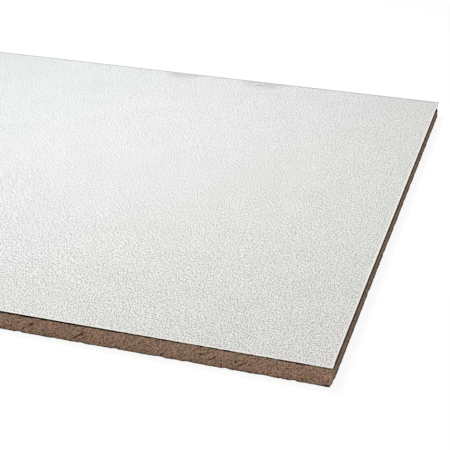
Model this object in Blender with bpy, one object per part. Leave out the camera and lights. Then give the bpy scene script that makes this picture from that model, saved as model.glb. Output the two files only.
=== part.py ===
"""Square-edged lay-in ceiling tile: a sawn fibre board under a thin white facing.

The tile lies with its finished face up. The origin is the middle of its back face. +X runs along
the near side to the right, +Y along the right side and away, +Z towards the finished face.
"""

from math import pi, radians, tau
from random import Random

import bmesh
import bpy
from mathutils import Matrix, Vector

# Overall size of the tile in metres, which is the facing's: a 24 inch grid module less its play
TILE_WIDTH = 0.603
TILE_DEPTH = 0.603

# The board, the edges that handling has blunted, and the arris eased under the facing
BOARD_THICKNESS = 0.018
BOARD_CORNER_RADIUS = 0.0018
BACK_ARRIS_WEAR = 0.0006
FRONT_ARRIS_WEAR = 0.0009

# The facing, glued on and cut a little proud of the sawn sides
FACING_THICKNESS = 0.0007
FACING_OVERHANG = 0.0003
FACING_CORNER_RADIUS = 0.0009
FACING_ARRIS_RADIUS = 0.0003
GLUE_GAP = 0.0003

# Fissures of the felted board, which the saw has opened in every side
FISSURE_WIDTH = 0.0010
FISSURE_DEPTH = 0.0024
FISSURE_TILT = radians(36)
FISSURE_PITCH = 0.037
SHORTEST_FISSURE = 0.006
LONGEST_FISSURE = 0.014
FISSURE_MARGIN = 0.0065

# Fissures of the near side: distance from its right corner, depth under the face, length
NEAR_SIDE_FISSURES = (
    (0.0760, 0.0115, 0.0110),
    (0.0820, 0.0105, 0.0095),
    (0.1005, 0.0100, 0.0085),
    (0.1090, 0.0080, 0.0080),
    (0.1440, 0.0145, 0.0070),
    (0.2155, 0.0125, 0.0095),
    (0.2195, 0.0110, 0.0165),
    (0.2660, 0.0110, 0.0125),
)
NEAR_SIDE_LISTED_RUN = 0.290

# Crumbs lost from the back arris, and how far the smallest and largest depart from their mean size
CRUMB_PITCH = 0.031
SHORTEST_CRUMB = 0.004
LONGEST_CRUMB = 0.011
CRUMB_DEPTH = 0.0011
CRUMB_HEIGHT = 0.0013
SMALLEST_BITE = 0.6
LARGEST_BITE = 1.2

# Wear that runs out from the foot of each upright corner, along both of its sides
FOOT_WEAR_LENGTH = 0.014
FOOT_WEAR_DEPTH = 0.0016
FOOT_WEAR_HEIGHT = 0.0030

# The far right corner, crushed under the facing: its reach along the far side, the right side and down
CRUSH_ACROSS = 0.0055
CRUSH_ALONG = 0.0160
CRUSH_DOWN = 0.0082

# Colours, linear, and roughness
BOARD_COLOUR = (0.255, 0.165, 0.115, 1.0)
BOARD_ROUGHNESS = 0.95
FACING_COLOUR = (0.80, 0.80, 0.785, 1.0)
FACING_ROUGHNESS = 0.62

# Facets: round a lens-shaped cut, along it, and on a rounded corner
LENS_SIDES = 5
LENS_RINGS = 5
CORNER_SEGMENTS = 3
ARRIS_SEGMENTS = 2
RAGGEDNESS = 0.13
SAME_LEVEL = 1e-6

# Seeds of the chance places and sizes of the cuts, and of the chance shape of each lens
FISSURE_SEED = 11
CRUMB_SEED = 23
LENS_SEED = 5

# Where in its equal share of a side a scattered fissure or crumb may lie
SHARE_START = 0.25
SHARE_END = 0.75

BOARD_WIDTH = TILE_WIDTH - 2 * FACING_OVERHANG
BOARD_DEPTH = TILE_DEPTH - 2 * FACING_OVERHANG
FACING_BOTTOM = BOARD_THICKNESS + GLUE_GAP


def clear_scene():
    """Start from an empty file."""
    for old in list(bpy.data.objects):
        bpy.data.objects.remove(old, do_unlink=True)


def new_collection(name):
    """A collection linked to the scene."""
    collection = bpy.data.collections.new(name)
    bpy.context.scene.collection.children.link(collection)
    return collection


def new_material(name, colour, roughness):
    """A plain Principled material of one colour."""
    material = bpy.data.materials.new(name)
    material.use_nodes = True
    shader = material.node_tree.nodes["Principled BSDF"]
    shader.inputs["Base Color"].default_value = colour
    shader.inputs["Roughness"].default_value = roughness
    shader.inputs["Metallic"].default_value = 0.0
    material.diffuse_color = colour
    return material


def object_from(mesh_edit, name, collection):
    """Turn an edited mesh into an object in a collection."""
    bmesh.ops.recalc_face_normals(mesh_edit, faces=mesh_edit.faces)
    mesh = bpy.data.meshes.new(name)
    mesh_edit.to_mesh(mesh)
    mesh_edit.free()
    made = bpy.data.objects.new(name, mesh)
    collection.objects.link(made)
    return made


def edges_at_level(mesh_edit, level):
    """The edges that lie flat at one height."""
    return [
        edge
        for edge in mesh_edit.edges
        if all(abs(vertex.co.z - level) < SAME_LEVEL for vertex in edge.verts)
    ]


def upright_edges(mesh_edit):
    """The four vertical edges of a box."""
    return [
        edge
        for edge in mesh_edit.edges
        if (edge.verts[0].co.xy - edge.verts[1].co.xy).length < SAME_LEVEL
    ]


def sheet(name, size, bottom, corner_radius, eased_arrises, collection):
    """A flat rectangular sheet with rounded upright corners and level arrises eased all round."""
    width, depth, thickness = size
    mesh_edit = bmesh.new()
    place = Matrix.Translation((0, 0, bottom + thickness / 2))
    stretch = Matrix.Diagonal((width, depth, thickness, 1))
    bmesh.ops.create_cube(mesh_edit, size=1, matrix=place @ stretch)
    bmesh.ops.bevel(
        mesh_edit,
        geom=upright_edges(mesh_edit),
        offset=corner_radius,
        segments=CORNER_SEGMENTS,
        profile=0.5,
        affect="EDGES",
    )
    for level, radius in eased_arrises:
        bmesh.ops.bevel(
            mesh_edit,
            geom=edges_at_level(mesh_edit, level),
            offset=radius,
            segments=ARRIS_SEGMENTS,
            profile=0.5,
            affect="EDGES",
        )
    return object_from(mesh_edit, name, collection)


def side_frame(turn):
    """The length of a side, and the frame at its foot: X to the right, Y into the board, Z up.

    Turn 0 is the near side, 1 the right, 2 the far and 3 the left.
    """
    if turn % 2 == 0:
        run, reach = BOARD_WIDTH, BOARD_DEPTH / 2
    else:
        run, reach = BOARD_DEPTH, BOARD_WIDTH / 2
    frame = Matrix.Rotation(turn * tau / 4, 4, "Z") @ Matrix.Translation((0, -reach, 0))
    return run, frame


def roughen(vertices, rough):
    """Push the points of a unit sphere about, each its own way, so that none stays in the wall it cuts."""
    for vertex in vertices:
        vertex.co += Vector([rough.uniform(-RAGGEDNESS, RAGGEDNESS) for axis in range(3)])


def add_lens(mesh_edit, place, half_sizes, rough):
    """Add a pointed, slightly ragged lens: its length along X, its depth along Y, its height along Z."""
    lie_down = Matrix.Rotation(pi / 2, 4, "Y")
    added = bmesh.ops.create_uvsphere(
        mesh_edit, u_segments=LENS_SIDES, v_segments=LENS_RINGS, radius=1, matrix=lie_down
    )
    roughen(added["verts"], rough)
    stretch = Matrix.Diagonal((*half_sizes, 1))
    bmesh.ops.transform(mesh_edit, matrix=place @ stretch, verts=added["verts"])


def add_fissure(mesh_edit, frame, along, level, length, rough):
    """Add the cutter of one slanting fissure to a side, rising to the right."""
    place = frame @ Matrix.Translation((along, 0, level)) @ Matrix.Rotation(-FISSURE_TILT, 4, "Y")
    add_lens(mesh_edit, place, (length / 2, FISSURE_DEPTH, FISSURE_WIDTH / 2), rough)


def scattered(run, pitch, chance):
    """Places along a side, one in each equal share of it."""
    count = max(1, round(run / pitch))
    share = run / count
    return [-run / 2 + (index + chance.uniform(SHARE_START, SHARE_END)) * share for index in range(count)]


def fissure_cutter(collection):
    """All fissures: the listed ones of the near side, and scattered ones on what is left of the sides."""
    chance = Random(FISSURE_SEED)
    rough = Random(LENS_SEED)
    mesh_edit = bmesh.new()
    for turn in range(4):
        run, frame = side_frame(turn)
        listed = NEAR_SIDE_LISTED_RUN if turn == 0 else 0
        for along in scattered(run, FISSURE_PITCH, chance):
            length = chance.uniform(SHORTEST_FISSURE, LONGEST_FISSURE)
            level = chance.uniform(FISSURE_MARGIN, BOARD_THICKNESS - FISSURE_MARGIN)
            if along < run / 2 - listed - length:
                add_fissure(mesh_edit, frame, along, level, length, rough)
    run, frame = side_frame(0)
    for from_corner, below_face, length in NEAR_SIDE_FISSURES:
        level = BOARD_THICKNESS - below_face
        add_fissure(mesh_edit, frame, run / 2 - from_corner, level, length, rough)
    return object_from(mesh_edit, "fissure_cutter", collection)


def back_arris_cutter(collection):
    """Crumbs lost along the back arris of every side."""
    chance = Random(CRUMB_SEED)
    rough = Random(LENS_SEED)
    mesh_edit = bmesh.new()
    for turn in range(4):
        run, frame = side_frame(turn)
        for along in scattered(run - 2 * FOOT_WEAR_LENGTH, CRUMB_PITCH, chance):
            length = chance.uniform(SHORTEST_CRUMB, LONGEST_CRUMB)
            bite = chance.uniform(SMALLEST_BITE, LARGEST_BITE)
            place = frame @ Matrix.Translation((along, 0, 0))
            half_sizes = (length / 2, CRUMB_DEPTH * bite, CRUMB_HEIGHT * bite)
            add_lens(mesh_edit, place, half_sizes, rough)
    return object_from(mesh_edit, "back_arris_cutter", collection)


def foot_wear_cutter(collection):
    """The worn foot of each upright corner, longest along the side to the right of it."""
    rough = Random(LENS_SEED)
    mesh_edit = bmesh.new()
    for turn in range(4):
        run, frame = side_frame(turn)
        place = frame @ Matrix.Translation((-run / 2, 0, 0))
        add_lens(mesh_edit, place, (FOOT_WEAR_LENGTH, FOOT_WEAR_DEPTH, FOOT_WEAR_HEIGHT), rough)
    return object_from(mesh_edit, "foot_wear_cutter", collection)


def crushed_corner_cutter(collection):
    """The hollow under the facing where the far right corner of the board is crushed."""
    rough = Random(LENS_SEED)
    mesh_edit = bmesh.new()
    added = bmesh.ops.create_icosphere(mesh_edit, subdivisions=2, radius=1)
    roughen(added["verts"], rough)
    corner = Matrix.Translation((BOARD_WIDTH / 2, BOARD_DEPTH / 2, BOARD_THICKNESS))
    reach = Matrix.Diagonal((CRUSH_ACROSS, CRUSH_ALONG, CRUSH_DOWN, 1))
    bmesh.ops.transform(mesh_edit, matrix=corner @ reach, verts=added["verts"])
    return object_from(mesh_edit, "crushed_corner_cutter", collection)


def cut(target, cutter):
    """Take a cutter away from an object, and show the cutter as wires only."""
    cutter.hide_render = True
    cutter.display_type = "WIRE"
    modifier = target.modifiers.new("cut_" + cutter.name, "BOOLEAN")
    modifier.operation = "DIFFERENCE"
    modifier.solver = "EXACT"
    modifier.object = cutter


def core_board(parts, cutters):
    """The rigid board of brown fibre, sawn square."""
    board = sheet(
        "core_board",
        (BOARD_WIDTH, BOARD_DEPTH, BOARD_THICKNESS),
        0,
        BOARD_CORNER_RADIUS,
        ((0, BACK_ARRIS_WEAR), (BOARD_THICKNESS, FRONT_ARRIS_WEAR)),
        parts,
    )
    board.data.materials.append(new_material("brown_fibre_board", BOARD_COLOUR, BOARD_ROUGHNESS))
    for make_cutter in (fissure_cutter, back_arris_cutter, foot_wear_cutter, crushed_corner_cutter):
        cut(board, make_cutter(cutters))
    return board


def face_sheet(parts):
    """The thin white facing over the whole finished side."""
    facing = sheet(
        "face_sheet",
        (TILE_WIDTH, TILE_DEPTH, FACING_THICKNESS),
        FACING_BOTTOM,
        FACING_CORNER_RADIUS,
        ((FACING_BOTTOM + FACING_THICKNESS, FACING_ARRIS_RADIUS),),
        parts,
    )
    facing.data.materials.append(new_material("white_facing", FACING_COLOUR, FACING_ROUGHNESS))
    return facing


def main():
    """Build the tile."""
    clear_scene()
    parts = new_collection("suspended_ceiling_tile")
    cutters = new_collection("cutters")
    core_board(parts, cutters)
    face_sheet(parts)


main()
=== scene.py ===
# %% [markdown]
# # A lay-in ceiling tile, lying face up
#
# A suspended ceiling is a grid of light metal tees with square tiles dropped into it. This notebook
# dresses one such tile: a rigid board of brown fibre under a thin white facing. The solids of both
# pieces are already made at their real size, and this file gives them their surfaces. It is a lesson
# in three things: how to make a sawn edge look sawn, how to give a flat white sheet a stipple that
# light can catch, and how to photograph white on white.
#
# Everything is in metres. The origin is the middle of the back face, +X runs along the near side to
# the right, +Y goes away from the camera along the right side, and +Z comes out of the white face.

# %% Load the solids
from math import pi, radians, sqrt, tan, tau
from random import Random

import bmesh
import bpy
from mathutils import Matrix, Vector


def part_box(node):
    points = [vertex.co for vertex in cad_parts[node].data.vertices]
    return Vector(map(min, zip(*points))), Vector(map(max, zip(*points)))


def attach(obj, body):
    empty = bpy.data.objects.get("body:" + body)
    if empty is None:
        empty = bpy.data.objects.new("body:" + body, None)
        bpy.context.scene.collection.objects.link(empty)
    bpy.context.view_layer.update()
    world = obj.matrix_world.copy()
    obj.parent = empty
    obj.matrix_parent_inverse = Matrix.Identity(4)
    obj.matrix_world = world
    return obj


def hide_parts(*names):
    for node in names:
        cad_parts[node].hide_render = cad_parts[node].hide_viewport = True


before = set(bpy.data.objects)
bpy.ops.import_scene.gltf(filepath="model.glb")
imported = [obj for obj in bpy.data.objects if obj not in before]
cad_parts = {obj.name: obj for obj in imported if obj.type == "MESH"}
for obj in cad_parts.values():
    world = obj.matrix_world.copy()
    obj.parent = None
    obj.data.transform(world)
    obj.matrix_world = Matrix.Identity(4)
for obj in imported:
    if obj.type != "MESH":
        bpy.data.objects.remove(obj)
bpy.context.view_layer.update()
board_low, board_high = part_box("core_board")
facing_low, facing_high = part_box("face_sheet")
board_size = board_high - board_low
facing_size = facing_high - facing_low
print("board", tuple(board_size), "facing", tuple(facing_size))

# %% [markdown]
# ## The camera
#
# The photograph was taken with a long lens, from the right of the tile and above it, looking a
# little to the left. Five of the tile's straight edges can be measured in the picture, and only one
# place, direction and focal length put a flat square of this size on all five. Those values are
# written here as plain numbers. A camera looks down its own -Z with +Y up, so it is first rolled,
# then tipped up from looking straight down, then turned to its heading. Read the product of the four
# matrices from right to left: the last one written is the first one done.

# %% Place the camera
CAMERA_PLACE = Vector((0.4485, -1.1014, 0.5646))
CAMERA_HEADING = radians(16.56)
CAMERA_DIP = radians(27.34)
CAMERA_ROLL = radians(0.60)
LENS_MM = 97.39
SENSOR_MM = 36.0


def rotation(axis, angle):
    """A four by four matrix that turns by an angle about an axis."""
    return Matrix.Rotation(angle, 4, axis)


bpy.ops.object.camera_add()
camera = bpy.context.object
camera.name = "long_lens_camera"
camera.data.lens = LENS_MM
camera.data.sensor_width = SENSOR_MM
camera.data.sensor_fit = "HORIZONTAL"
heading = rotation("Z", CAMERA_HEADING)
tip = rotation("X", pi / 2 - CAMERA_DIP)
roll = rotation("Z", CAMERA_ROLL)
camera.matrix_world = Matrix.Translation(CAMERA_PLACE) @ heading @ tip @ roll
bpy.context.scene.camera = camera
print("camera at", tuple(CAMERA_PLACE), "with a lens of", LENS_MM, "mm")

# %% [markdown]
# ## Small helpers
#
# Both pieces are modelled with the same few moves: clear the selection, pick edges or faces by where
# they are, and run an operator on them. An operator acts on all that is selected, so a helper that
# selects something starts by deselecting everything.

# %% Define the helpers
NEARLY_FLAT = 0.9
SAME_LEVEL = 1e-6
SMOOTH_ANGLE = radians(50)


def select_only(piece):
    """Make a piece the only selected and active object."""
    bpy.ops.object.select_all(action="DESELECT")
    piece.select_set(True)
    bpy.context.view_layer.objects.active = piece


def pick(piece, kind, test):
    """In edit mode, select the faces, edges or points that pass a test, and nothing else."""
    bpy.ops.mesh.select_mode(type=kind)
    bpy.ops.mesh.select_all(action="DESELECT")
    cage = bmesh.from_edit_mesh(piece.data)
    for element in {"FACE": cage.faces, "EDGE": cage.edges, "VERT": cage.verts}[kind]:
        if test(element):
            element.select_set(True)
    cage.select_flush_mode()
    bmesh.update_edit_mesh(piece.data)


def is_upright(edge):
    """Whether an edge runs up and down."""
    return abs((edge.verts[0].co - edge.verts[1].co).normalized().z) > NEARLY_FLAT


def apply_modifier(piece, modifier):
    """Apply a modifier for good."""
    select_only(piece)
    bpy.ops.object.modifier_apply(modifier=modifier.name)


def triangles(piece):
    """How many triangles a piece has."""
    return sum(len(face.vertices) - 2 for face in piece.data.polygons)


print("helpers ready")

# %% [markdown]
# ## The board: a band of sawn sides
#
# A saw leaves the side of a fibre board rough: loose fibres stand out, and small crumbs are gone. A
# bump map alone would show that inside the outline, but the lower edge of the tile would stay as
# straight as a ruler. So the sides get a real mesh of about 0.8 mm, which can be pushed in and out.
#
# A cube subdivided as a whole would spend most of its faces on the flat back, where nothing shows.
# Instead the cube loses its top and bottom, and what is left is a band of four sides. Only the band
# is subdivided: first its level edges, in two passes, because one pass makes a hundred cuts at most,
# then its upright ones. The short edges that round the corners are fine enough as they are. The band
# stops short of the front and the back by the height of the two worn arrises, which come next.

# %% Make the band
BOARD_CORNER_RADIUS = 0.0018
CORNER_SEGMENTS = 3
COLUMN_CUTS = (26, 27)
ROW_CUTS = 20
FRONT_ARRIS = ((0.0003, 0.0005), (0.0006, 0.0004))
BACK_ARRIS = ((0.00005, -0.0002), (0.0002, -0.00005))


def is_long_and_level(edge):
    """Whether an edge is level, and too long to be one of those that round a corner."""
    return not is_upright(edge) and edge.calc_length() > 2 * BOARD_CORNER_RADIUS


arris_up = sum(rise for inward, rise in FRONT_ARRIS)
arris_down = sum(rise for inward, rise in BACK_ARRIS)
band_low = board_low - Vector((0, 0, arris_down))
band_high = board_high - Vector((0, 0, arris_up))
bpy.ops.object.select_all(action="DESELECT")
bpy.ops.mesh.primitive_cube_add(
    size=1, location=(band_low + band_high) / 2, scale=band_high - band_low
)
board = bpy.context.object
board.name = "sawn_board"
bpy.ops.object.transform_apply(location=True, rotation=True, scale=True)
bpy.ops.object.mode_set(mode="EDIT")
pick(board, "FACE", lambda face: abs(face.normal.z) > NEARLY_FLAT)
bpy.ops.mesh.delete(type="FACE")
pick(board, "EDGE", is_upright)
bpy.ops.mesh.bevel(offset=BOARD_CORNER_RADIUS, segments=CORNER_SEGMENTS, affect="EDGES")
for cuts in COLUMN_CUTS:
    pick(board, "EDGE", is_long_and_level)
    bpy.ops.mesh.subdivide(number_cuts=cuts)
pick(board, "EDGE", is_upright)
bpy.ops.mesh.subdivide(number_cuts=ROW_CUTS)
bpy.ops.object.mode_set(mode="OBJECT")
print("band of", len(board.data.polygons), "faces")

# %% [markdown]
# ## The board: close the front and the back
#
# The open rims are closed in steps. Each step extrudes the rim, moves it up or down, and pulls it in.
# The first two go round the worn arris: the saw and the handling have blunted it, and under the
# facing it leaves a narrow groove that stays in shadow. A few flat rings then carry the fine mesh
# onto the face, so that crumbs can be lost from it, and one large face fills the rest.

# %% Close the board
RING_WIDTH = 0.0009
BACK_RINGS = 3
FRONT_RINGS = 1


def is_rim(edge, level):
    """Whether an edge is part of the open rim at a level."""
    return edge.is_boundary and all(abs(point.co.z - level) < SAME_LEVEL for point in edge.verts)


def close_rim(piece, level, width, depth, steps):
    """Carry an open rim along in steps, each so far inwards and so far up, and fill what is left."""
    pick(piece, "EDGE", lambda edge: is_rim(edge, level))
    for inward, rise in steps:
        bpy.ops.mesh.extrude_edges_move(TRANSFORM_OT_translate={"value": (0, 0, rise)})
        shrink = (1 - 2 * inward / width, 1 - 2 * inward / depth, 1)
        bpy.ops.transform.resize(value=shrink, center_override=(0, 0, 0))
        width -= 2 * inward
        depth -= 2 * inward
    bpy.ops.mesh.edge_face_add()


back_steps = BACK_ARRIS + ((RING_WIDTH, 0),) * BACK_RINGS
front_steps = FRONT_ARRIS + ((RING_WIDTH, 0),) * FRONT_RINGS
select_only(board)
bpy.ops.object.mode_set(mode="EDIT")
close_rim(board, band_low.z, board_size.x, board_size.y, back_steps)
close_rim(board, band_high.z, board_size.x, board_size.y, front_steps)
bpy.ops.mesh.select_all(action="SELECT")
bpy.ops.mesh.normals_make_consistent(inside=False)
bpy.ops.object.mode_set(mode="OBJECT")
print("closed board of", triangles(board), "triangles")

# %% [markdown]
# ## The board: one lens for every cut
#
# Felted board is laid down wet and pressed, and it keeps thin voids that slant through it. The saw
# opens them as dark slits, all rising to the right. Its back arris has lost crumbs, and the foot of
# each corner is worn. All of these are hollows of one shape, a pointed lens. So one lens is modelled,
# and each cut is a copy of it with its own mesh, stretched to its own length, depth and height. The
# copies are joined and roughened together: the cloud texture differs from place to place, so no two
# of them stay alike. The values of a texture go from 0 to 1, so at its middle, 0.5, nothing moves.

# %% Define the cuts
SIDES = 4
LENS_SIDES = 8
LENS_RINGS = 8
TEXTURE_MIDDLE = 0.5
CLOUD_DEPTH = 1


def side_frame(turn):
    """The length of a side, and the frame at its foot: X to the right, Y into the board, Z up."""
    run = board_size.x if turn % 2 == 0 else board_size.y
    reach = (board_size.y if turn % 2 == 0 else board_size.x) / 2
    return run, rotation("Z", turn * tau / SIDES) @ Matrix.Translation((0, -reach, 0))


def displace(piece, name, size, depth, group="", mid_level=TEXTURE_MIDDLE, direction="NORMAL"):
    """Push the points of a piece in and out by a cloud texture, and apply it."""
    clouds = bpy.data.textures.new(name, "CLOUDS")
    clouds.noise_scale = size
    clouds.noise_depth = CLOUD_DEPTH
    clouds.cloud_type = "COLOR" if direction == "RGB_TO_XYZ" else "GRAYSCALE"
    modifier = piece.modifiers.new(name, "DISPLACE")
    modifier.texture = clouds
    modifier.texture_coords = "LOCAL"
    modifier.direction = direction
    modifier.strength = depth
    modifier.mid_level = mid_level
    modifier.vertex_group = group
    apply_modifier(piece, modifier)


def lens_cutter(name, cuts):
    """One cutter that holds a stretched lens for each place and half sizes in a list."""
    bpy.ops.object.select_all(action="DESELECT")
    bpy.ops.mesh.primitive_uv_sphere_add(
        segments=LENS_SIDES, ring_count=LENS_RINGS, radius=1, rotation=(0, pi / 2, 0)
    )
    lens = bpy.context.object
    bpy.ops.object.transform_apply(location=True, rotation=True, scale=True)
    for place, half_sizes in cuts:
        lens_copy = lens.copy()
        lens_copy.data = lens.data.copy()
        lens_copy.data.transform(place @ Matrix.Diagonal((*half_sizes, 1)))
        bpy.context.collection.objects.link(lens_copy)
        lens_copy.select_set(True)
        bpy.context.view_layer.objects.active = lens_copy
    bpy.data.objects.remove(lens)
    bpy.ops.object.join()
    cutter = bpy.context.object
    cutter.name = name
    return cutter


def cut(piece, cutter):
    """Take a cutter away from a piece, and drop the cutter."""
    modifier = piece.modifiers.new(cutter.name, "BOOLEAN")
    modifier.operation = "DIFFERENCE"
    modifier.solver = "MANIFOLD"
    modifier.object = cutter
    apply_modifier(piece, modifier)
    piece.data.materials.clear()
    bpy.data.objects.remove(cutter)


print("a lens has", LENS_SIDES, "sides")

# %% [markdown]
# ## The board: the fissures
#
# The fissures that the photograph shows on the near side are listed, each by its distance from the
# right corner, its depth under the face, its length and its width. The last two run into each other:
# together they are the longest fissure, which is widest near its upper end. The rest are scattered by
# chance, one in each equal share of a side. Their seed is that of the solids, so each of them lies
# where a fissure of the solids does.

# %% Open the fissures
USUAL_WIDTH = 0.0010
FISSURE_DEPTH = 0.0024
FISSURE_TILT = radians(36)
FISSURE_PITCH = 0.037
SHORTEST_FISSURE = 0.006
LONGEST_FISSURE = 0.014
FISSURE_MARGIN = 0.0065
FISSURE_SEED = 11
NEAR_SIDE_FISSURES = (
    (0.0760, 0.0115, 0.0110, 0.0010),
    (0.0820, 0.0105, 0.0095, 0.0008),
    (0.1005, 0.0100, 0.0085, 0.0010),
    (0.1090, 0.0080, 0.0080, 0.0008),
    (0.1440, 0.0145, 0.0070, 0.0008),
    (0.2155, 0.0125, 0.0095, 0.0007),
    (0.2195, 0.0110, 0.0165, 0.0009),
    (0.2680, 0.0118, 0.0110, 0.0011),
    (0.2645, 0.0095, 0.0120, 0.0016),
)
NEAR_SIDE_LISTED_RUN = 0.290
SHARE_START = 0.25
SHARE_END = 0.75
RAGGED_SIZE = 0.0016
RAGGED_DEPTH = 0.0005


def scattered(run, pitch, chance):
    """Places along a side, one in each equal share of it."""
    count = max(1, round(run / pitch))
    share = run / count
    return [-run / 2 + (index + chance.uniform(SHARE_START, SHARE_END)) * share for index in range(count)]


def fissure_cut(side, along, level, length, width=USUAL_WIDTH):
    """The place and half sizes of one fissure, which rises to the right."""
    place = side @ Matrix.Translation((along, 0, level)) @ rotation("Y", -FISSURE_TILT)
    return place, (length / 2, FISSURE_DEPTH, width / 2)


chance = Random(FISSURE_SEED)
fissures = []
for turn in range(SIDES):
    run, side = side_frame(turn)
    listed = NEAR_SIDE_LISTED_RUN if turn == 0 else 0
    for along in scattered(run, FISSURE_PITCH, chance):
        length = chance.uniform(SHORTEST_FISSURE, LONGEST_FISSURE)
        level = chance.uniform(FISSURE_MARGIN, board_size.z - FISSURE_MARGIN)
        if along < run / 2 - listed - length:
            fissures.append(fissure_cut(side, along, level, length))
run, side = side_frame(0)
for from_corner, below_face, length, width in NEAR_SIDE_FISSURES:
    fissures.append(fissure_cut(side, run / 2 - from_corner, board_size.z - below_face, length, width))
fissure_cutter = lens_cutter("fissure_cutter", fissures)
displace(fissure_cutter, "ragged_fissures", RAGGED_SIZE, RAGGED_DEPTH)
cut(board, fissure_cutter)
print("opened", len(fissures), "fissures:", triangles(board), "triangles")

# %% [markdown]
# ## The board: lost crumbs and worn feet
#
# Crumbs break from the back arris, because it is the one that slides over floors and other tiles.
# Each is a lens with its middle on the arris. The foot of each upright corner has a longer, deeper
# one, which runs out along both of its sides.

# %% Break the back arris
CRUMB_PITCH = 0.031
SHORTEST_CRUMB = 0.004
LONGEST_CRUMB = 0.011
CRUMB_DEPTH = 0.0011
CRUMB_HEIGHT = 0.0013
SMALLEST_BITE = 0.6
LARGEST_BITE = 1.2
CRUMB_SEED = 23
FOOT_WEAR_LENGTH = 0.014
FOOT_WEAR_DEPTH = 0.0016
FOOT_WEAR_HEIGHT = 0.0030

chance = Random(CRUMB_SEED)
crumbs = []
for turn in range(SIDES):
    run, side = side_frame(turn)
    for along in scattered(run - 2 * FOOT_WEAR_LENGTH, CRUMB_PITCH, chance):
        length = chance.uniform(SHORTEST_CRUMB, LONGEST_CRUMB)
        bite = chance.uniform(SMALLEST_BITE, LARGEST_BITE)
        half_sizes = (length / 2, CRUMB_DEPTH * bite, CRUMB_HEIGHT * bite)
        crumbs.append((side @ Matrix.Translation((along, 0, 0)), half_sizes))
    foot = side @ Matrix.Translation((-run / 2, 0, 0))
    crumbs.append((foot, (FOOT_WEAR_LENGTH, FOOT_WEAR_DEPTH, FOOT_WEAR_HEIGHT)))
crumb_cutter = lens_cutter("crumb_cutter", crumbs)
displace(crumb_cutter, "ragged_crumbs", RAGGED_SIZE, RAGGED_DEPTH)
cut(board, crumb_cutter)
print("broke off", len(crumbs), "crumbs:", triangles(board), "triangles")

# %% [markdown]
# ## The board: the crushed corner
#
# A tile that is stood on its corner crushes there. The facing is tough and keeps its shape, so in the
# photograph the far right corner of the face is still sharp, with white to be seen under it where the
# board has crumbled away. The hollow is a ball round the corner, stretched along the right side.

# %% Crush the far right corner
CRUSH_ACROSS = 0.0055
CRUSH_ALONG = 0.0160
CRUSH_DOWN = 0.0082
CRUSH_SUBDIVISIONS = 5
CRUMBLE_SIZE = 0.003
CRUMBLE_DEPTH = 0.0016

bpy.ops.object.select_all(action="DESELECT")
bpy.ops.mesh.primitive_ico_sphere_add(
    subdivisions=CRUSH_SUBDIVISIONS,
    radius=1,
    location=board_high,
    scale=(CRUSH_ACROSS, CRUSH_ALONG, CRUSH_DOWN),
)
crush_cutter = bpy.context.object
crush_cutter.name = "crush_cutter"
bpy.ops.object.transform_apply(location=True, rotation=True, scale=True)
displace(crush_cutter, "crumbled", CRUMBLE_SIZE, CRUMBLE_DEPTH)
cut(board, crush_cutter)
print("crushed a corner:", triangles(board), "triangles")

# %% [markdown]
# ## The board: torn fibres
#
# Displace modifiers push each point along its normal by the value of a cloud texture. Three sizes of
# cloud make the sawn side: a fine one for single fibres, a middle one for tufts and small hollows,
# and a long one for the wander of the saw. Their middle level is a little high, so that more is taken
# away than stands out, and the tile keeps its size. A vertex group holds the effect to the sides and to
# what the cuts have opened, and leaves the large flat faces flat. The board is pressed between the
# floor and its facing, so what was pushed out below its back or above its front is put back.

# %% Roughen the sides
SAW_WANDER_SIZE = 0.09
SAW_WANDER_DEPTH = 0.0004
TUFT_SIZE = 0.0045
TUFT_DEPTH = 0.0006
FIBRE_SIZE = 0.0015
FIBRE_DEPTH = 0.0006
KEEP_OUTSIDE = 0.55


def weight_group(piece, name, weight_at):
    """A vertex group whose weights come from a function of each point's place."""
    group = piece.vertex_groups.new(name=name)
    for point in piece.data.vertices:
        group.add([point.index], weight_at(point.co), "REPLACE")
    return name


def on_torn_fibre(place):
    """1 on the sides and in the cuts, fading to 0 over two rings' width of the flat faces."""
    if board_low.z + SAME_LEVEL < place.z < board_high.z - SAME_LEVEL:
        return 1.0
    inside = min(board_size.x / 2 - abs(place.x), board_size.y / 2 - abs(place.y))
    return max(0.0, 1 - inside / (2 * RING_WIDTH))


torn = weight_group(board, "torn", on_torn_fibre)
displace(board, "saw_wander", SAW_WANDER_SIZE, SAW_WANDER_DEPTH, torn, KEEP_OUTSIDE)
displace(board, "tufts", TUFT_SIZE, TUFT_DEPTH, torn, KEEP_OUTSIDE)
displace(board, "fibres", FIBRE_SIZE, FIBRE_DEPTH, torn, KEEP_OUTSIDE)
for point in board.data.vertices:
    point.co.z = min(board_high.z, max(board_low.z, point.co.z))
select_only(board)
bpy.ops.object.shade_smooth_by_angle(angle=SMOOTH_ANGLE)
print("roughened", len(board.data.vertices), "points")

# %% [markdown]
# ## The facing: a sheet with a rolled rim
#
# The facing is a sheet 0.7 mm thick, so it is modelled as one: a fine grid for its visible side,
# whose rim is rolled over, carried down and closed underneath. The steps are the board's again, only
# that they go outwards and down. Its corners are rounded first, while each is still a single point:
# the near right one, which the tile has been stood on, is the bluntest.

# %% Make the sheet
GRID_CELLS = 306
RIM_STEPS = ((-0.00018, -0.00006), (-0.00012, -0.00018), (0, -0.00046))
BLUNT_CORNER = 0.0019
SHARP_CORNER = 0.0009


def is_corner(point):
    """Whether a point is a corner of the grid, where only two edges meet."""
    return len(point.link_edges) == 2


def is_near_right(point):
    """Whether a corner is the near right one."""
    return point.co.x - point.co.y > flat_width / 2


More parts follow.
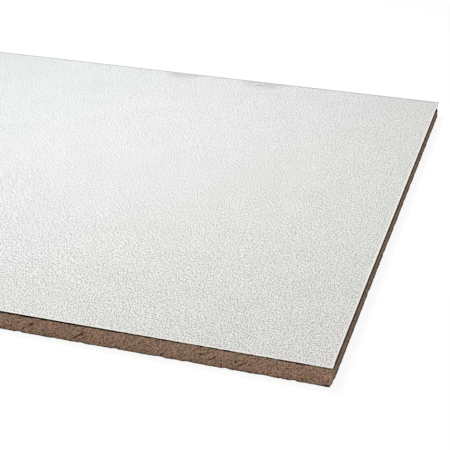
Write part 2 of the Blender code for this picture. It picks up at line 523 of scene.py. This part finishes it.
roll_out = -sum(inward for inward, rise in RIM_STEPS)
flat_width = facing_size.x - 2 * roll_out
flat_depth = facing_size.y - 2 * roll_out
bpy.ops.object.select_all(action="DESELECT")
bpy.ops.mesh.primitive_grid_add(
    x_subdivisions=GRID_CELLS, y_subdivisions=GRID_CELLS, size=1, location=(0, 0, facing_high.z)
)
facing = bpy.context.object
facing.name = "stippled_facing"
facing.scale = (flat_width, flat_depth, 1)
bpy.ops.object.transform_apply(location=True, rotation=True, scale=True)
bpy.ops.object.mode_set(mode="EDIT")
pick(facing, "VERT", lambda point: is_corner(point) and is_near_right(point))
bpy.ops.mesh.bevel(offset=BLUNT_CORNER, segments=CORNER_SEGMENTS, affect="VERTICES")
pick(facing, "VERT", lambda point: is_corner(point) and not is_near_right(point))
bpy.ops.mesh.bevel(offset=SHARP_CORNER, segments=CORNER_SEGMENTS, affect="VERTICES")
close_rim(facing, facing_high.z, flat_width, flat_depth, RIM_STEPS)
bpy.ops.mesh.select_all(action="SELECT")
bpy.ops.mesh.normals_make_consistent(inside=False)
bpy.ops.object.mode_set(mode="OBJECT")
print("facing of", triangles(facing), "triangles")

# %% [markdown]
# ## The facing: its stipple
#
# A stipple roller leaves a crowd of small soft lumps, most of them too fine for any mesh of a sensible
# size. The finish draws those. The mesh holds the coarsest of them: each point of its grid of 2 mm is
# moved by its own small amount, so the face isn't as flat as glass under its finish. A regular grid
# would show as a weave, so a colour texture first shifts the points sideways: red moves them along X
# and green along Y. Blue moves them along Z, which isn't wanted, so their height is put back. A second
# texture then raises and lowers them. A vertex group keeps both off the rim.

# %% Stipple the sheet
SHIFT_SIZE = 0.0019
SHIFT = 0.0011
STIPPLE_SIZE = 0.0022
STIPPLE_DEPTH = 0.00006
RIM_MARGIN = 0.0016


def away_from_rim(place):
    """1 on the open face, fading to 0 at its rim, and 0 below it."""
    if place.z < facing_high.z - SAME_LEVEL:
        return 0.0
    inside = min(flat_width / 2 - abs(place.x), flat_depth / 2 - abs(place.y))
    return min(1.0, max(0.0, inside / RIM_MARGIN))


open_face = weight_group(facing, "open_face", away_from_rim)
levels = [point.co.z for point in facing.data.vertices]
displace(facing, "shift", SHIFT_SIZE, SHIFT, open_face, direction="RGB_TO_XYZ")
for point, level in zip(facing.data.vertices, levels):
    point.co.z = level
displace(facing, "stipple", STIPPLE_SIZE, STIPPLE_DEPTH, open_face)
print("stippled", len(facing.data.vertices), "points")

# %% [markdown]
# ## The facing: two knocks at the far edge
#
# The photograph shows two grey places at the far edge, where something has pressed the face. Each is
# half an ellipse against the edge, given by its middle along X, its half length, and its reach from
# the edge. A vertex group holds how deep each point goes, and a Displace modifier with no texture
# moves them all down by it.

# %% Press in the knocks
KNOCKS = (
    (-0.0235, 0.034, 0.025),
    (0.0825, 0.039, 0.030),
)
KNOCK_DEPTH = 0.0004


def in_a_knock(place):
    """1 at the middle of a knock, fading softly to 0 at its outline."""
    deepest = 0.0
    for middle, half_length, reach in KNOCKS:
        across = (place.x - middle) / half_length
        along = (facing_high.y - place.y) / reach
        deepest = max(deepest, 1 - across * across - along * along)
    return deepest * deepest * away_from_rim(Vector((place.x, place.y, facing_high.z)))


knocked = weight_group(facing, "knocked", in_a_knock)
press = facing.modifiers.new("press", "DISPLACE")
press.direction = "Z"
press.strength = -KNOCK_DEPTH
press.mid_level = 0
press.vertex_group = knocked
apply_modifier(facing, press)
bpy.ops.object.shade_smooth_by_angle(angle=SMOOTH_ANGLE)
print("pressed in", len(KNOCKS), "knocks")

# %% [markdown]
# ## Helpers for the finishes
#
# Both finishes are node trees that read Object coordinates, so their patterns have a real size in
# metres and stay where they are when the tile moves. The helpers give the few kinds of node that are
# used over and over a short name. A noise has a detail, which is how many finer noises are added to it,
# and a roughness, which is how strong those are. A Mix node has a set of sockets for each type of
# value under the same names, so those for colours are told by their numbers.

# %% Define the node helpers
PLAIN_DETAIL = 2.0
SOFT_DETAIL = 1.0
PLAIN_ROUGHNESS = 0.5
MIX_SHARE, MIX_FIRST, MIX_SECOND = 0, 6, 7
MIX_RESULT = 2


def add_node(tree, kind, inputs=None, **settings):
    """Add a node, set its options, and fill its inputs with values or with other nodes' outputs."""
    node = tree.nodes.new(kind)
    for name, value in settings.items():
        setattr(node, name, value)
    for name, value in (inputs or {}).items():
        if isinstance(value, bpy.types.NodeSocket):
            tree.links.new(value, node.inputs[name])
        else:
            node.inputs[name].default_value = value
    return node


def maths(tree, operation, first, second=0.0):
    """The result of one sum."""
    return add_node(tree, "ShaderNodeMath", {0: first, 1: second}, operation=operation).outputs[0]


def noise(tree, place, size, detail=PLAIN_DETAIL, roughness=PLAIN_ROUGHNESS):
    """A noise of about a given size in metres, from 0 to 1."""
    inputs = {"Vector": place, "Scale": 1 / size, "Detail": detail, "Roughness": roughness}
    return add_node(tree, "ShaderNodeTexNoise", inputs).outputs["Fac"]


def cell_tones(tree, place, size):
    """A chance tone for each of many cells of about a given size in metres."""
    return add_node(tree, "ShaderNodeTexVoronoi", {"Vector": place, "Scale": 1 / size}).outputs["Color"]


def ramp(tree, value, start, end, low=0.0, high=1.0):
    """A value that goes smoothly from low to high while another goes from start to end."""
    inputs = {"Value": value, "From Min": start, "From Max": end, "To Min": low, "To Max": high}
    node = add_node(tree, "ShaderNodeMapRange", inputs, interpolation_type="SMOOTHSTEP")
    return node.outputs["Result"]


def part_way(tree, share, low, high):
    """The value that lies a share of the way from low to high."""
    inputs = {"Value": share, "To Min": low, "To Max": high}
    return add_node(tree, "ShaderNodeMapRange", inputs).outputs["Result"]


def inside_limit(tree, value, blur):
    """1 while a value is below 0, and 0 above it, with a blur to each side of 0."""
    return ramp(tree, value, blur, maths(tree, "MULTIPLY", blur, -1.0))


def coloured(tree, value, stops):
    """A colour read from a ramp, each stop of which is a position and a colour."""
    node = add_node(tree, "ShaderNodeValToRGB", {"Fac": value})
    elements = node.color_ramp.elements
    elements[0].position, elements[0].color = stops[0]
    elements[1].position, elements[1].color = stops[-1]
    for position, colour in stops[1:-1]:
        elements.new(position).color = colour
    return node.outputs["Color"]


def blend(tree, share, first, second, mode="MIX"):
    """Two colours mixed by a share."""
    inputs = {MIX_SHARE: share, MIX_FIRST: first, MIX_SECOND: second}
    node = add_node(tree, "ShaderNodeMix", inputs, data_type="RGBA", blend_type=mode)
    return node.outputs[MIX_RESULT]


def from_middle(tree, place, middle, half_sizes):
    """How far out a place is in an ellipsoid: 0 at its middle and 1 on its surface."""
    inputs = {"Vector": place, "Location": middle, "Scale": half_sizes}
    around = add_node(tree, "ShaderNodeMapping", inputs, vector_type="TEXTURE").outputs[0]
    return add_node(tree, "ShaderNodeVectorMath", {0: around}, operation="LENGTH").outputs["Value"]


def new_finish(name):
    """A material with its node tree, its Principled shader, and its place as a vector and as X, Y, Z."""
    finish = bpy.data.materials.new(name)
    finish.use_nodes = True
    tree = finish.node_tree
    place = add_node(tree, "ShaderNodeTexCoord").outputs["Object"]
    x, y, z = add_node(tree, "ShaderNodeSeparateXYZ", {"Vector": place}).outputs
    return finish, tree, tree.nodes["Principled BSDF"], place, x, y, z


print("node helpers ready")

# %% [markdown]
# ## The finish of the board
#
# Close up, the sawn side is a felt of wood fibres: specks and grit of less than a millimetre, strands
# that rise to the right like the fissures, and soft patches that lean to red or to olive. The first
# three are added up and coloured by a ramp from umber to a light brown. The strands are a noise in
# stretched coordinates. Its long axis lies along X, Y and Z at once, so the strands rise to the right
# on the near side and on the right side alike.

# %% Colour the fibres
SPECK_SIZE = 0.0008
SPECK_DETAIL = 2.5
SPECK_ROUGHNESS = 0.65
GRIT_SIZE = 0.0007
STRAND_SIZE = 0.0010
STRAND_DETAIL = 1.5
STRAND_STRETCH = 6.0
SPECK_SHARE = 0.35
STRAND_SHARE = 0.35
GRIT_SHARE = 0.30
DARK_FIBRE = (0.10, 0.058, 0.037, 1)
MIDDLE_FIBRE = (0.275, 0.175, 0.123, 1)
LIGHT_FIBRE = (0.49, 0.332, 0.24, 1)
FIBRE_STOPS = ((0.40, DARK_FIBRE), (0.50, MIDDLE_FIBRE), (0.60, LIGHT_FIBRE))
PATCH_SIZE = 0.010
PATCH_EDGES = (0.38, 0.62)
REDDISH = (1.05, 0.975, 0.97, 1)
OLIVE = (0.97, 1.00, 0.93, 1)

fibre, tree, shader, place, x, y, z = new_finish("felted_brown_fibre")
specks = noise(tree, place, SPECK_SIZE, SPECK_DETAIL, SPECK_ROUGHNESS)
grit = cell_tones(tree, place, GRIT_SIZE)
lie = Vector((1, 1, sqrt(2) * tan(FISSURE_TILT))).to_track_quat("X", "Z").inverted().to_euler()
turned = add_node(tree, "ShaderNodeMapping", {"Vector": place, "Rotation": lie}).outputs[0]
squeeze = {"Vector": turned, "Scale": (1 / STRAND_STRETCH, 1, 1)}
squeezed = add_node(tree, "ShaderNodeMapping", squeeze).outputs[0]
strands = noise(tree, squeezed, STRAND_SIZE, STRAND_DETAIL)
felted = 0.0
for layer, share in ((specks, SPECK_SHARE), (strands, STRAND_SHARE), (grit, GRIT_SHARE)):
    felted = maths(tree, "ADD", felted, maths(tree, "MULTIPLY", layer, share))
patches = noise(tree, place, PATCH_SIZE, SOFT_DETAIL)
hue = blend(tree, ramp(tree, patches, *PATCH_EDGES), REDDISH, OLIVE)
felt = blend(tree, 1.0, coloured(tree, felted, FIBRE_STOPS), hue, mode="MULTIPLY")
print("felt coloured")

# %% [markdown]
# ## The finish of the board: the glue line and painted shade
#
# Right under the facing, glue has soaked into the fibres, and the groove there holds shadow. Both are
# painted as one black line of glue and painted shade: a hair thick on the near side, where it thins into
# dashes towards the right, and several times as tall on the right side, where it is mostly painted shade
# under the overhanging facing. The right side is told from the others by which side is the nearest. The
# board is square, so one half size serves both ways. A noise makes the lower limit of the line wander,
# and a second noise makes the dashes. Both rules are functions, because the sheet's own edge follows
# them too.

# %% Draw the glue line and its painted shade
GLUE_AND_SHADE_BLACK = (0.004, 0.0025, 0.002, 1)
GLUE_SHADE_DROP_LEFT = 0.0013
GLUE_SHADE_DROP_NEAR_RIGHT = 0.0008
GLUE_SHADE_DROP_RIGHT = 0.0052
GLUE_SHADE_BLUR_NEAR = 0.0002
GLUE_SHADE_BLUR_RIGHT = 0.0020
GLUE_SHADE_WANDER_SIZE = 0.005
GLUE_SHADE_WANDER_NEAR = 0.0016
GLUE_SHADE_WANDER_RIGHT = 0.0025
THINS_FROM = 0.04
THINS_TO = 0.22
DASH_SIZE = 0.004
DASH_GAPS = (0.55, 0.42)
MOST_FADED = 0.34
FADED_ON_RIGHT = 0.03
SIDE_BLUR = 0.012
HALF_BOARD = board_size.x / 2


def right_share(tree, x, y):
    """1 on the right side and 0 on the other three, told by which side is the nearest."""
    from_right = maths(tree, "SUBTRACT", HALF_BOARD, x)
    from_near_or_far = maths(tree, "SUBTRACT", HALF_BOARD, maths(tree, "ABSOLUTE", y))
    return ramp(tree, maths(tree, "SUBTRACT", from_near_or_far, from_right), 0.0, SIDE_BLUR)


def glue_shade_left(tree, place, x, on_right):
    """How much is left of the line of glue and painted shade: all of it at the left, and dashes towards
    the near right.
    """
    gaps = ramp(tree, noise(tree, place, DASH_SIZE, SOFT_DETAIL), *DASH_GAPS)
    fading = ramp(tree, x, THINS_FROM, THINS_TO, 0.0, MOST_FADED)
    most_faded = part_way(tree, on_right, fading, FADED_ON_RIGHT)
    return maths(tree, "SUBTRACT", 1.0, maths(tree, "MULTIPLY", gaps, most_faded))


# Painted shade and glue: the black line under the facing is the glue and the groove's shade in one colour.
on_right = right_share(tree, x, y)
drop_on_near = ramp(tree, x, THINS_FROM, THINS_TO, GLUE_SHADE_DROP_LEFT, GLUE_SHADE_DROP_NEAR_RIGHT)
drop = part_way(tree, on_right, drop_on_near, GLUE_SHADE_DROP_RIGHT)
wander = maths(tree, "SUBTRACT", noise(tree, place, GLUE_SHADE_WANDER_SIZE, SOFT_DETAIL), TEXTURE_MIDDLE)
swing = maths(tree, "MULTIPLY", wander, part_way(tree, on_right, GLUE_SHADE_WANDER_NEAR, GLUE_SHADE_WANDER_RIGHT))
below_face = maths(tree, "SUBTRACT", board_high.z, z)
below_line = maths(tree, "SUBTRACT", maths(tree, "ADD", below_face, swing), drop)
glue_shade_reach = inside_limit(tree, below_line, part_way(tree, on_right, GLUE_SHADE_BLUR_NEAR, GLUE_SHADE_BLUR_RIGHT))
glued_and_shaded = maths(tree, "MULTIPLY", glue_shade_reach, glue_shade_left(tree, place, x, on_right))
print("glue line drawn")

# %% [markdown]
# ## The finish of the board: grime, dark feet and painted shade
#
# The back arris is grey with grime and with painted shade where it meets the floor, more so on the
# right side, and the foot of each corner is nearly black. A hollow is painted darker than the wall round
# it, as shade. It is told by how far a point lies inside the four sides, and held to the height between
# the two faces, because the faces lie inside the four sides too. The crushed corner is painted dark as
# shade, by its distance from the ball that made it.

# %% Darken the arris, the feet and the hollows, partly as painted shade
GRIME_AND_SHADE = (0.05, 0.040, 0.030, 1)
GRIME_SHADE_NEAR = 0.0015
GRIME_SHADE_RIGHT = 0.0046
GRIME_SHADE_BLUR_NEAR = 0.0005
GRIME_SHADE_BLUR_RIGHT = 0.0018
GRIME_SHADE_STRENGTH_NEAR = 0.55
GRIME_SHADE_STRENGTH_RIGHT = 0.85
GRIME_SHADE_WANDER = 0.0035
GRIME_SHADE_REACH = 0.0070
FOOT_DARK = (0.012, 0.010, 0.008, 1)
FOOT_REACH = 0.0085
FOOT_HEIGHT = 0.0030
HOLLOW_SHADE = (0.028, 0.018, 0.013, 1)
HOLLOW_SHADE_DEPTHS = (0.0008, 0.0016)
ABOVE_BACK = (0.0004, 0.0016)
BELOW_FRONT = (0.0001, 0.0008)
CRUSH_SHADE_REACH = 1.35

# Grime and painted shade along the back arris, where it meets the floor.
grime_shade_swing = maths(tree, "MULTIPLY", wander, GRIME_SHADE_WANDER)
grime_shade_height = part_way(tree, on_right, GRIME_SHADE_NEAR, GRIME_SHADE_RIGHT)
above_grime_shade = maths(tree, "SUBTRACT", maths(tree, "ADD", z, grime_shade_swing), grime_shade_height)
low_down = inside_limit(tree, above_grime_shade, part_way(tree, on_right, GRIME_SHADE_BLUR_NEAR, GRIME_SHADE_BLUR_RIGHT))
inside_x = maths(tree, "SUBTRACT", HALF_BOARD, maths(tree, "ABSOLUTE", x))
inside_y = maths(tree, "SUBTRACT", HALF_BOARD, maths(tree, "ABSOLUTE", y))
inside = maths(tree, "MINIMUM", inside_x, inside_y)
at_side = ramp(tree, maths(tree, "ADD", inside, grime_shade_swing), GRIME_SHADE_REACH, 0.0)
grime_shade_strength = part_way(tree, on_right, GRIME_SHADE_STRENGTH_NEAR, GRIME_SHADE_STRENGTH_RIGHT)
grimy_and_shaded = maths(tree, "MULTIPLY", maths(tree, "MULTIPLY", low_down, at_side), grime_shade_strength)
# The foot of each corner is made nearly black.
near_corner = ramp(tree, maths(tree, "ADD", inside_x, inside_y), FOOT_REACH, FOOT_REACH / 2)
foot = maths(tree, "MULTIPLY", near_corner, ramp(tree, z, FOOT_HEIGHT, FOOT_HEIGHT / 2))
# Painted shade in the hollows, by how deep they lie inside the sides.
between = maths(tree, "MULTIPLY", ramp(tree, z, *ABOVE_BACK), ramp(tree, below_face, *BELOW_FRONT))
hollow_shade = maths(tree, "MULTIPLY", ramp(tree, inside, *HOLLOW_SHADE_DEPTHS), between)
# Painted shade in the crushed corner, by its distance from the ball.
out_of_crush = from_middle(tree, place, board_high, (CRUSH_ACROSS, CRUSH_ALONG, CRUSH_DOWN))
crushed = ramp(tree, out_of_crush, CRUSH_SHADE_REACH, 1.0)
darkened = blend(tree, grimy_and_shaded, felt, GRIME_AND_SHADE)
darkened = blend(tree, foot, darkened, FOOT_DARK)
darkened = blend(tree, maths(tree, "MAXIMUM", hollow_shade, crushed), darkened, HOLLOW_SHADE)
# Painted shade and glue: the black line goes on last, over everything else.
darkened = blend(tree, glued_and_shaded, darkened, GLUE_AND_SHADE_BLACK)
tree.links.new(darkened, shader.inputs["Base Color"])
print("arris, feet and hollows darkened")

# %% [markdown]
# ## The finish of the board: its feel
#
# Wood fibre has no gloss, so the roughness stays high and varies only a little. The bump is the felt
# itself again, because a raised fibre is both lighter and higher. The back of the board lay on a wire
# screen when it was wet, and it keeps the print of the wires as two crossed waves. A wave texture of
# scale 1 repeats after a twentieth of a full turn in radians, which gives the scale for a real pitch.

# %% Roughen the felt
WAVE_PERIOD = tau / 20
SCREEN_PITCH = 0.0024
SCREEN_DEPTH = 0.5
SCREEN_LEVELS = (0.0003, 0.0001)
FELT_RELIEF = 0.0006
FELT_SHARPNESS = 0.7
SPECK_RANGE = (0.3, 0.7)
FELT_ROUGHNESS = (0.98, 0.86)
FELT_SPECULAR = 0.12

screen = ramp(tree, z, *SCREEN_LEVELS)
for direction in "XY":
    wave = {"Vector": place, "Scale": WAVE_PERIOD / SCREEN_PITCH}
    wires = add_node(tree, "ShaderNodeTexWave", wave, bands_direction=direction).outputs["Fac"]
    screen = maths(tree, "MULTIPLY", screen, wires)
height = maths(tree, "ADD", felted, maths(tree, "MULTIPLY", screen, SCREEN_DEPTH))
relief = {"Height": height, "Distance": FELT_RELIEF, "Strength": FELT_SHARPNESS}
tree.links.new(add_node(tree, "ShaderNodeBump", relief).outputs["Normal"], shader.inputs["Normal"])
tree.links.new(ramp(tree, specks, *SPECK_RANGE, *FELT_ROUGHNESS), shader.inputs["Roughness"])
shader.inputs["Specular IOR Level"].default_value = FELT_SPECULAR
board.data.materials.append(fibre)
print("board finished with", len(tree.nodes), "nodes")

# %% [markdown]
# ## The finish of the facing: its stipple
#
# The facing is off-white and finely stippled: a crowd of lumps, with painted highlight on their tops
# and painted shade in the gaps between them. Voronoi is the texture for such a crowd. It scatters
# centres over the face and gives the distance to the nearest one, so one less that distance is a dome
# over each centre. It is read in two dimensions, because a flat cut through a crowd in three would catch
# some domes at their middle and others at their rim. The roller has drawn the lumps out in its own
# direction, so the place is squeezed along Y before it is read. It was running dry at the far left, where
# the stipple is mixed with a little plain white. The same domes are the bump, so light and colour agree.

# %% Colour the stipple
LUMP_SIZE = 0.0014
LUMP_STRETCH = 1.4
GAP_SHADE_WHITE = (0.53, 0.53, 0.53, 1)
PLAIN_WHITE = (0.83, 0.83, 0.83, 1)
TOP_HIGHLIGHT_WHITE = (0.98, 0.98, 0.98, 1)
LUMP_STOPS = ((0.48, GAP_SHADE_WHITE), (0.64, PLAIN_WHITE), (0.80, TOP_HIGHLIGHT_WHITE))
THIN_STIPPLE = 0.88
THIN_AT = -0.50
FULL_AT = 0.35

white, tree, shader, place, x, y, z = new_finish("stippled_white")
squeeze = {"Vector": place, "Scale": (1, 1 / LUMP_STRETCH, 1)}
squeezed = add_node(tree, "ShaderNodeMapping", squeeze).outputs[0]
crowd = {"Vector": squeezed, "Scale": 1 / LUMP_SIZE}
nearest = add_node(tree, "ShaderNodeTexVoronoi", crowd, voronoi_dimensions="2D").outputs["Distance"]
domes = maths(tree, "SUBTRACT", 1.0, nearest)
to_near_right = ramp(tree, maths(tree, "SUBTRACT", x, y), THIN_AT, FULL_AT, THIN_STIPPLE, 1.0)
# Painted shade in the gaps between the lumps and painted highlight on their tops.
stippled = blend(tree, to_near_right, PLAIN_WHITE, coloured(tree, domes, LUMP_STOPS))
print("stipple coloured")

# %% [markdown]
# ## The finish of the facing: its tint
#
# No white board is the same white all over. This one is a trace cool at the far left, plain in its
# middle, yellowed towards the right, where it has seen more daylight, and a trace pink at the near
# right corner. A ramp along one slanting direction holds all four. Soft clouds a few centimetres wide
# make the coat a little uneven on top of that.

# %% Tint the facing
TINT_START = -0.30
TINT_END = 0.45
TINT_LEAN = 0.5
COOL_TINT = (0.963, 1.0, 0.991, 1)
PLAIN_TINT = (1.0, 1.0, 1.0, 1)
WARM_TINT = (0.990, 1.0, 0.951, 1)
PINK_TINT = (1.025, 1.0, 0.968, 1)
TINT_STOPS = (
    (0.07, COOL_TINT),
    (0.29, PLAIN_TINT),
    (0.47, PLAIN_TINT),
    (0.69, WARM_TINT),
    (0.88, WARM_TINT),
    (1.00, PINK_TINT),
)
CLOUD_SIZE = 0.030
CLOUD_EDGES = (0.35, 0.65)
THIN_COAT = (0.985, 0.985, 0.985, 1)
THICK_COAT = (1.012, 1.012, 1.012, 1)

across = maths(tree, "SUBTRACT", x, maths(tree, "MULTIPLY", y, TINT_LEAN))
span = {"Value": across, "From Min": TINT_START, "From Max": TINT_END}
tint = coloured(tree, add_node(tree, "ShaderNodeMapRange", span).outputs["Result"], TINT_STOPS)
clouds = noise(tree, place, CLOUD_SIZE)
coat = blend(tree, ramp(tree, clouds, *CLOUD_EDGES), THIN_COAT, THICK_COAT)
tinted = blend(tree, 1.0, stippled, tint, mode="MULTIPLY")
tinted = blend(tree, 1.0, tinted, coat, mode="MULTIPLY")
print("facing tinted")

# %% [markdown]
# ## The finish of the facing: its rims and knocks
#
# Along the near and the right edge the stipple is flat, and a painted highlight makes it whiter, as a warm
# line one or two millimetres wide, which fades before the far right corner. The far edge is painted grey,
# as shade on its roll. The two knocks are grey too, but patchily.
#
# The sheet's own edge is black, with the glue that holds it and with painted shade, and towards the
# right that black reaches round the rim. The way up the edge and then inwards over the roll is measured
# as one length: height above the sheet's underside plus distance in from the side. The knocks are low
# too, but far in.

# %% Mark the rims with painted highlight and shade, and the knocks
RIM_HIGHLIGHT_WHITE = (1.0, 0.94, 0.87, 1)
NEAR_RIM = 0.0012
RIGHT_RIM = 0.0018
RIM_SOFTNESS = 0.3
RIM_FADE = 0.040
RIM_LEFT_OVER = 0.3
FAR_EDGE_SHADE_GREY = (0.47, 0.47, 0.47, 1)
FAR_RIM = 0.0030
FAR_STRENGTH = 1.0
KNOCK_GREY = (0.52, 0.52, 0.51, 1)
KNOCK_CORE = 0.45
KNOCK_STRENGTH = 0.80
MOTTLE_SIZE = 0.005
MOTTLE_EDGES = (0.42, 0.58)
MOTTLE_FADED = 0.35
GLUE_SHADE_EDGE_LEFT = 0.00042
GLUE_SHADE_EDGE_NEAR_RIGHT = 0.00070
GLUE_SHADE_OVER_NEAR = 0.00042
GLUE_SHADE_OVER_FAR = 0.00022
GLUE_SHADE_OVER_FROM = -0.30
GLUE_SHADE_OVER_TO = 0.10
GLUE_SHADE_EDGE_BLUR = 0.00008
HALF_FACING = facing_size.x / 2


def rim(tree, inside, width):
    """1 at a side of the sheet, fading to 0 at about a width inside it."""
    return ramp(tree, inside, (1 + RIM_SOFTNESS) * width, (1 - RIM_SOFTNESS) * width)


from_far = maths(tree, "SUBTRACT", HALF_FACING, y)
from_right = maths(tree, "SUBTRACT", HALF_FACING, x)
# Painted highlight: a warm white line along the near and the right edge.
near_rim_highlight = rim(tree, maths(tree, "ADD", y, HALF_FACING), NEAR_RIM)
kept = ramp(tree, from_far, RIM_FADE / 2, RIM_FADE, RIM_LEFT_OVER, 1.0)
right_rim_highlight = maths(tree, "MULTIPLY", rim(tree, from_right, RIGHT_RIM), kept)
rimmed = blend(tree, maths(tree, "MAXIMUM", near_rim_highlight, right_rim_highlight), tinted, RIM_HIGHLIGHT_WHITE)
# Painted shade: the far edge is grey.
rimmed = blend(tree, maths(tree, "MULTIPLY", rim(tree, from_far, FAR_RIM), FAR_STRENGTH), rimmed, FAR_EDGE_SHADE_GREY)
mottle = ramp(tree, noise(tree, place, MOTTLE_SIZE), *MOTTLE_EDGES, MOTTLE_FADED, 1.0)
# The knocks are made grey in patches.
for middle_x, half_length, reach in KNOCKS:
    out = from_middle(tree, place, (middle_x, HALF_FACING, facing_high.z), (half_length, reach, 1))
    knock_greyed = maths(tree, "MULTIPLY", ramp(tree, out, 1.0, KNOCK_CORE, 0.0, KNOCK_STRENGTH), mottle)
    rimmed = blend(tree, knock_greyed, rimmed, KNOCK_GREY)
# Painted shade and glue: the sheet's own edge is blackened like the board's line.
on_right = right_share(tree, x, y)
farthest_out = maths(tree, "MAXIMUM", maths(tree, "ABSOLUTE", x), maths(tree, "ABSOLUTE", y))
in_from_side = maths(tree, "SUBTRACT", HALF_FACING, farthest_out)
round_the_rim = maths(tree, "ADD", maths(tree, "SUBTRACT", z, facing_low.z), in_from_side)
limit = ramp(tree, x, THINS_FROM, THINS_TO, GLUE_SHADE_EDGE_LEFT, GLUE_SHADE_EDGE_NEAR_RIGHT)
glue_shade_over = ramp(tree, y, GLUE_SHADE_OVER_FROM, GLUE_SHADE_OVER_TO, GLUE_SHADE_OVER_NEAR, GLUE_SHADE_OVER_FAR)
limit = maths(tree, "ADD", limit, maths(tree, "MULTIPLY", on_right, glue_shade_over))
glue_shade_reach = inside_limit(tree, maths(tree, "SUBTRACT", round_the_rim, limit), GLUE_SHADE_EDGE_BLUR)
glued_and_shaded = maths(tree, "MULTIPLY", glue_shade_reach, glue_shade_left(tree, place, x, on_right))
rimmed = blend(tree, glued_and_shaded, rimmed, GLUE_AND_SHADE_BLACK)
tree.links.new(rimmed, shader.inputs["Base Color"])
print("rims, knocks and glued edge marked")

# %% [markdown]
# ## The finish of the facing: its feel
#
# The coat is satin rather than matt. The tops of the lumps have been rubbed a little smoother than the
# gaps, so the roughness follows the same domes as the colour and the bump.

# %% Smooth the lumps
LUMP_RELIEF = 0.0002
LUMP_SHARPNESS = 1.0
LUMP_RANGE = (0.4, 0.9)
COAT_ROUGHNESS = (0.72, 0.52)
COAT_SPECULAR = 0.35

relief = {"Height": domes, "Distance": LUMP_RELIEF, "Strength": LUMP_SHARPNESS}
tree.links.new(add_node(tree, "ShaderNodeBump", relief).outputs["Normal"], shader.inputs["Normal"])
tree.links.new(ramp(tree, domes, *LUMP_RANGE, *COAT_ROUGHNESS), shader.inputs["Roughness"])
shader.inputs["Specular IOR Level"].default_value = COAT_SPECULAR
facing.data.materials.append(white)
print("facing finished with", len(tree.nodes), "nodes")

# %% [markdown]
# ## Light
#
# The face is brightest at its far left and falls off evenly towards the near right. That is the
# fall-off of one soft lamp about a metre above the tile, beyond its middle and to the left. The white
# room adds light with no direction, which opens the shadows. A weak, low lamp in front, to the right,
# lights the two sides that are in view, the near one more than the right one.
#
# What the camera sees of the room is another matter. Light Path tells which rays come from the camera
# or from a gloss, and those see plain white, while all others see the level that lights the tile.

# %% Light the tile
OVERHEAD_PLACE = (-0.20, 0.13, 1.06)
OVERHEAD_SIZE = 0.45
OVERHEAD_WATTS = 10.35
FILL_PLACE = (1.40, -2.08, 0.45)
FILL_SIZE = 1.2
FILL_WATTS = 23.0
ROOM_LEVEL = 0.22
BACKDROP_LEVEL = 1.0
WHITE = (1, 1, 1, 1)


def area_lamp(name, place, size, power):
    """A square lamp at a place, aimed at the origin."""
    bpy.ops.object.light_add(type="AREA", location=place)
    lamp = bpy.context.object
    lamp.name = name
    lamp.data.size = size
    lamp.data.energy = power
    lamp.rotation_euler = (-Vector(place)).to_track_quat("-Z", "Y").to_euler()


def sees_white(tree):
    """1 for the rays that see the backdrop: from the camera, a gloss or through glass."""
    seen = add_node(tree, "ShaderNodeLightPath").outputs
    glossy_or_through = maths(tree, "MAXIMUM", seen["Is Glossy Ray"], seen["Is Transmission Ray"])
    return maths(tree, "MAXIMUM", seen["Is Camera Ray"], glossy_or_through)


area_lamp("overhead", OVERHEAD_PLACE, OVERHEAD_SIZE, OVERHEAD_WATTS)
area_lamp("front_fill", FILL_PLACE, FILL_SIZE, FILL_WATTS)

world = bpy.data.worlds.new("white_studio")
bpy.context.scene.world = world
world.use_nodes = True
tree = world.node_tree
tree.nodes.clear()
room = add_node(tree, "ShaderNodeBackground", {"Color": WHITE, "Strength": ROOM_LEVEL})
backdrop = add_node(tree, "ShaderNodeBackground", {"Color": WHITE, "Strength": BACKDROP_LEVEL})
choice = {0: sees_white(tree), 1: room.outputs[0], 2: backdrop.outputs[0]}
chosen = add_node(tree, "ShaderNodeMixShader", choice)
add_node(tree, "ShaderNodeOutputWorld", {"Surface": chosen.outputs[0]})
print("lamps and room lit")

# %% [markdown]
# ## Floor
#
# The floor is white paper. A lit white floor is never quite as white as the page round a cut-out
# picture, so for the camera most of its white is its own glow and the rest is reflected light. The
# reflected part is what still goes missing under the tile, which keeps a faint shadow there.

# %% Lay the floor
PAPER_SIZE = 12
CLEARANCE = 0.0001
LIT_PAPER = (0.85, 0.85, 0.85, 1)
FAINT_PAPER = (0.14, 0.14, 0.14, 1)
PAPER_GLOW = 0.90

bpy.ops.object.select_all(action="DESELECT")
bpy.ops.mesh.primitive_plane_add(size=PAPER_SIZE, location=(0, 0, board_low.z - CLEARANCE))
floor = bpy.context.object
floor.name = "white_floor"
bpy.ops.object.transform_apply(location=True, rotation=True, scale=True)
paper = bpy.data.materials.new("white_paper")
paper.use_nodes = True
tree = paper.node_tree
tree.nodes.clear()
lit = add_node(tree, "ShaderNodeBsdfDiffuse", {"Color": LIT_PAPER})
faint = add_node(tree, "ShaderNodeBsdfDiffuse", {"Color": FAINT_PAPER})
glow = add_node(tree, "ShaderNodeEmission", {"Color": WHITE, "Strength": PAPER_GLOW})
lifted = add_node(tree, "ShaderNodeAddShader", {0: faint.outputs[0], 1: glow.outputs[0]})
choice = {0: sees_white(tree), 1: lit.outputs[0], 2: lifted.outputs[0]}
chosen = add_node(tree, "ShaderNodeMixShader", choice)
add_node(tree, "ShaderNodeOutputMaterial", {"Surface": chosen.outputs[0]})
floor.data.materials.append(paper)
bpy.context.scene.view_settings.view_transform = "Standard"
print("floor laid")

# %% [markdown]
# ## Tie the pieces to the part
# Each dressed piece rides on the tile's one body and takes the place of its plain solid. The sizes before
# and after are written down, to see that
# the dressed tile has kept the size of the solids.

# %% Hand over
for piece, node, slot in ((board, "core_board", "fibre_board"), (facing, "face_sheet", "white_facing")):
    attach(piece, "root")
    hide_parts(node)
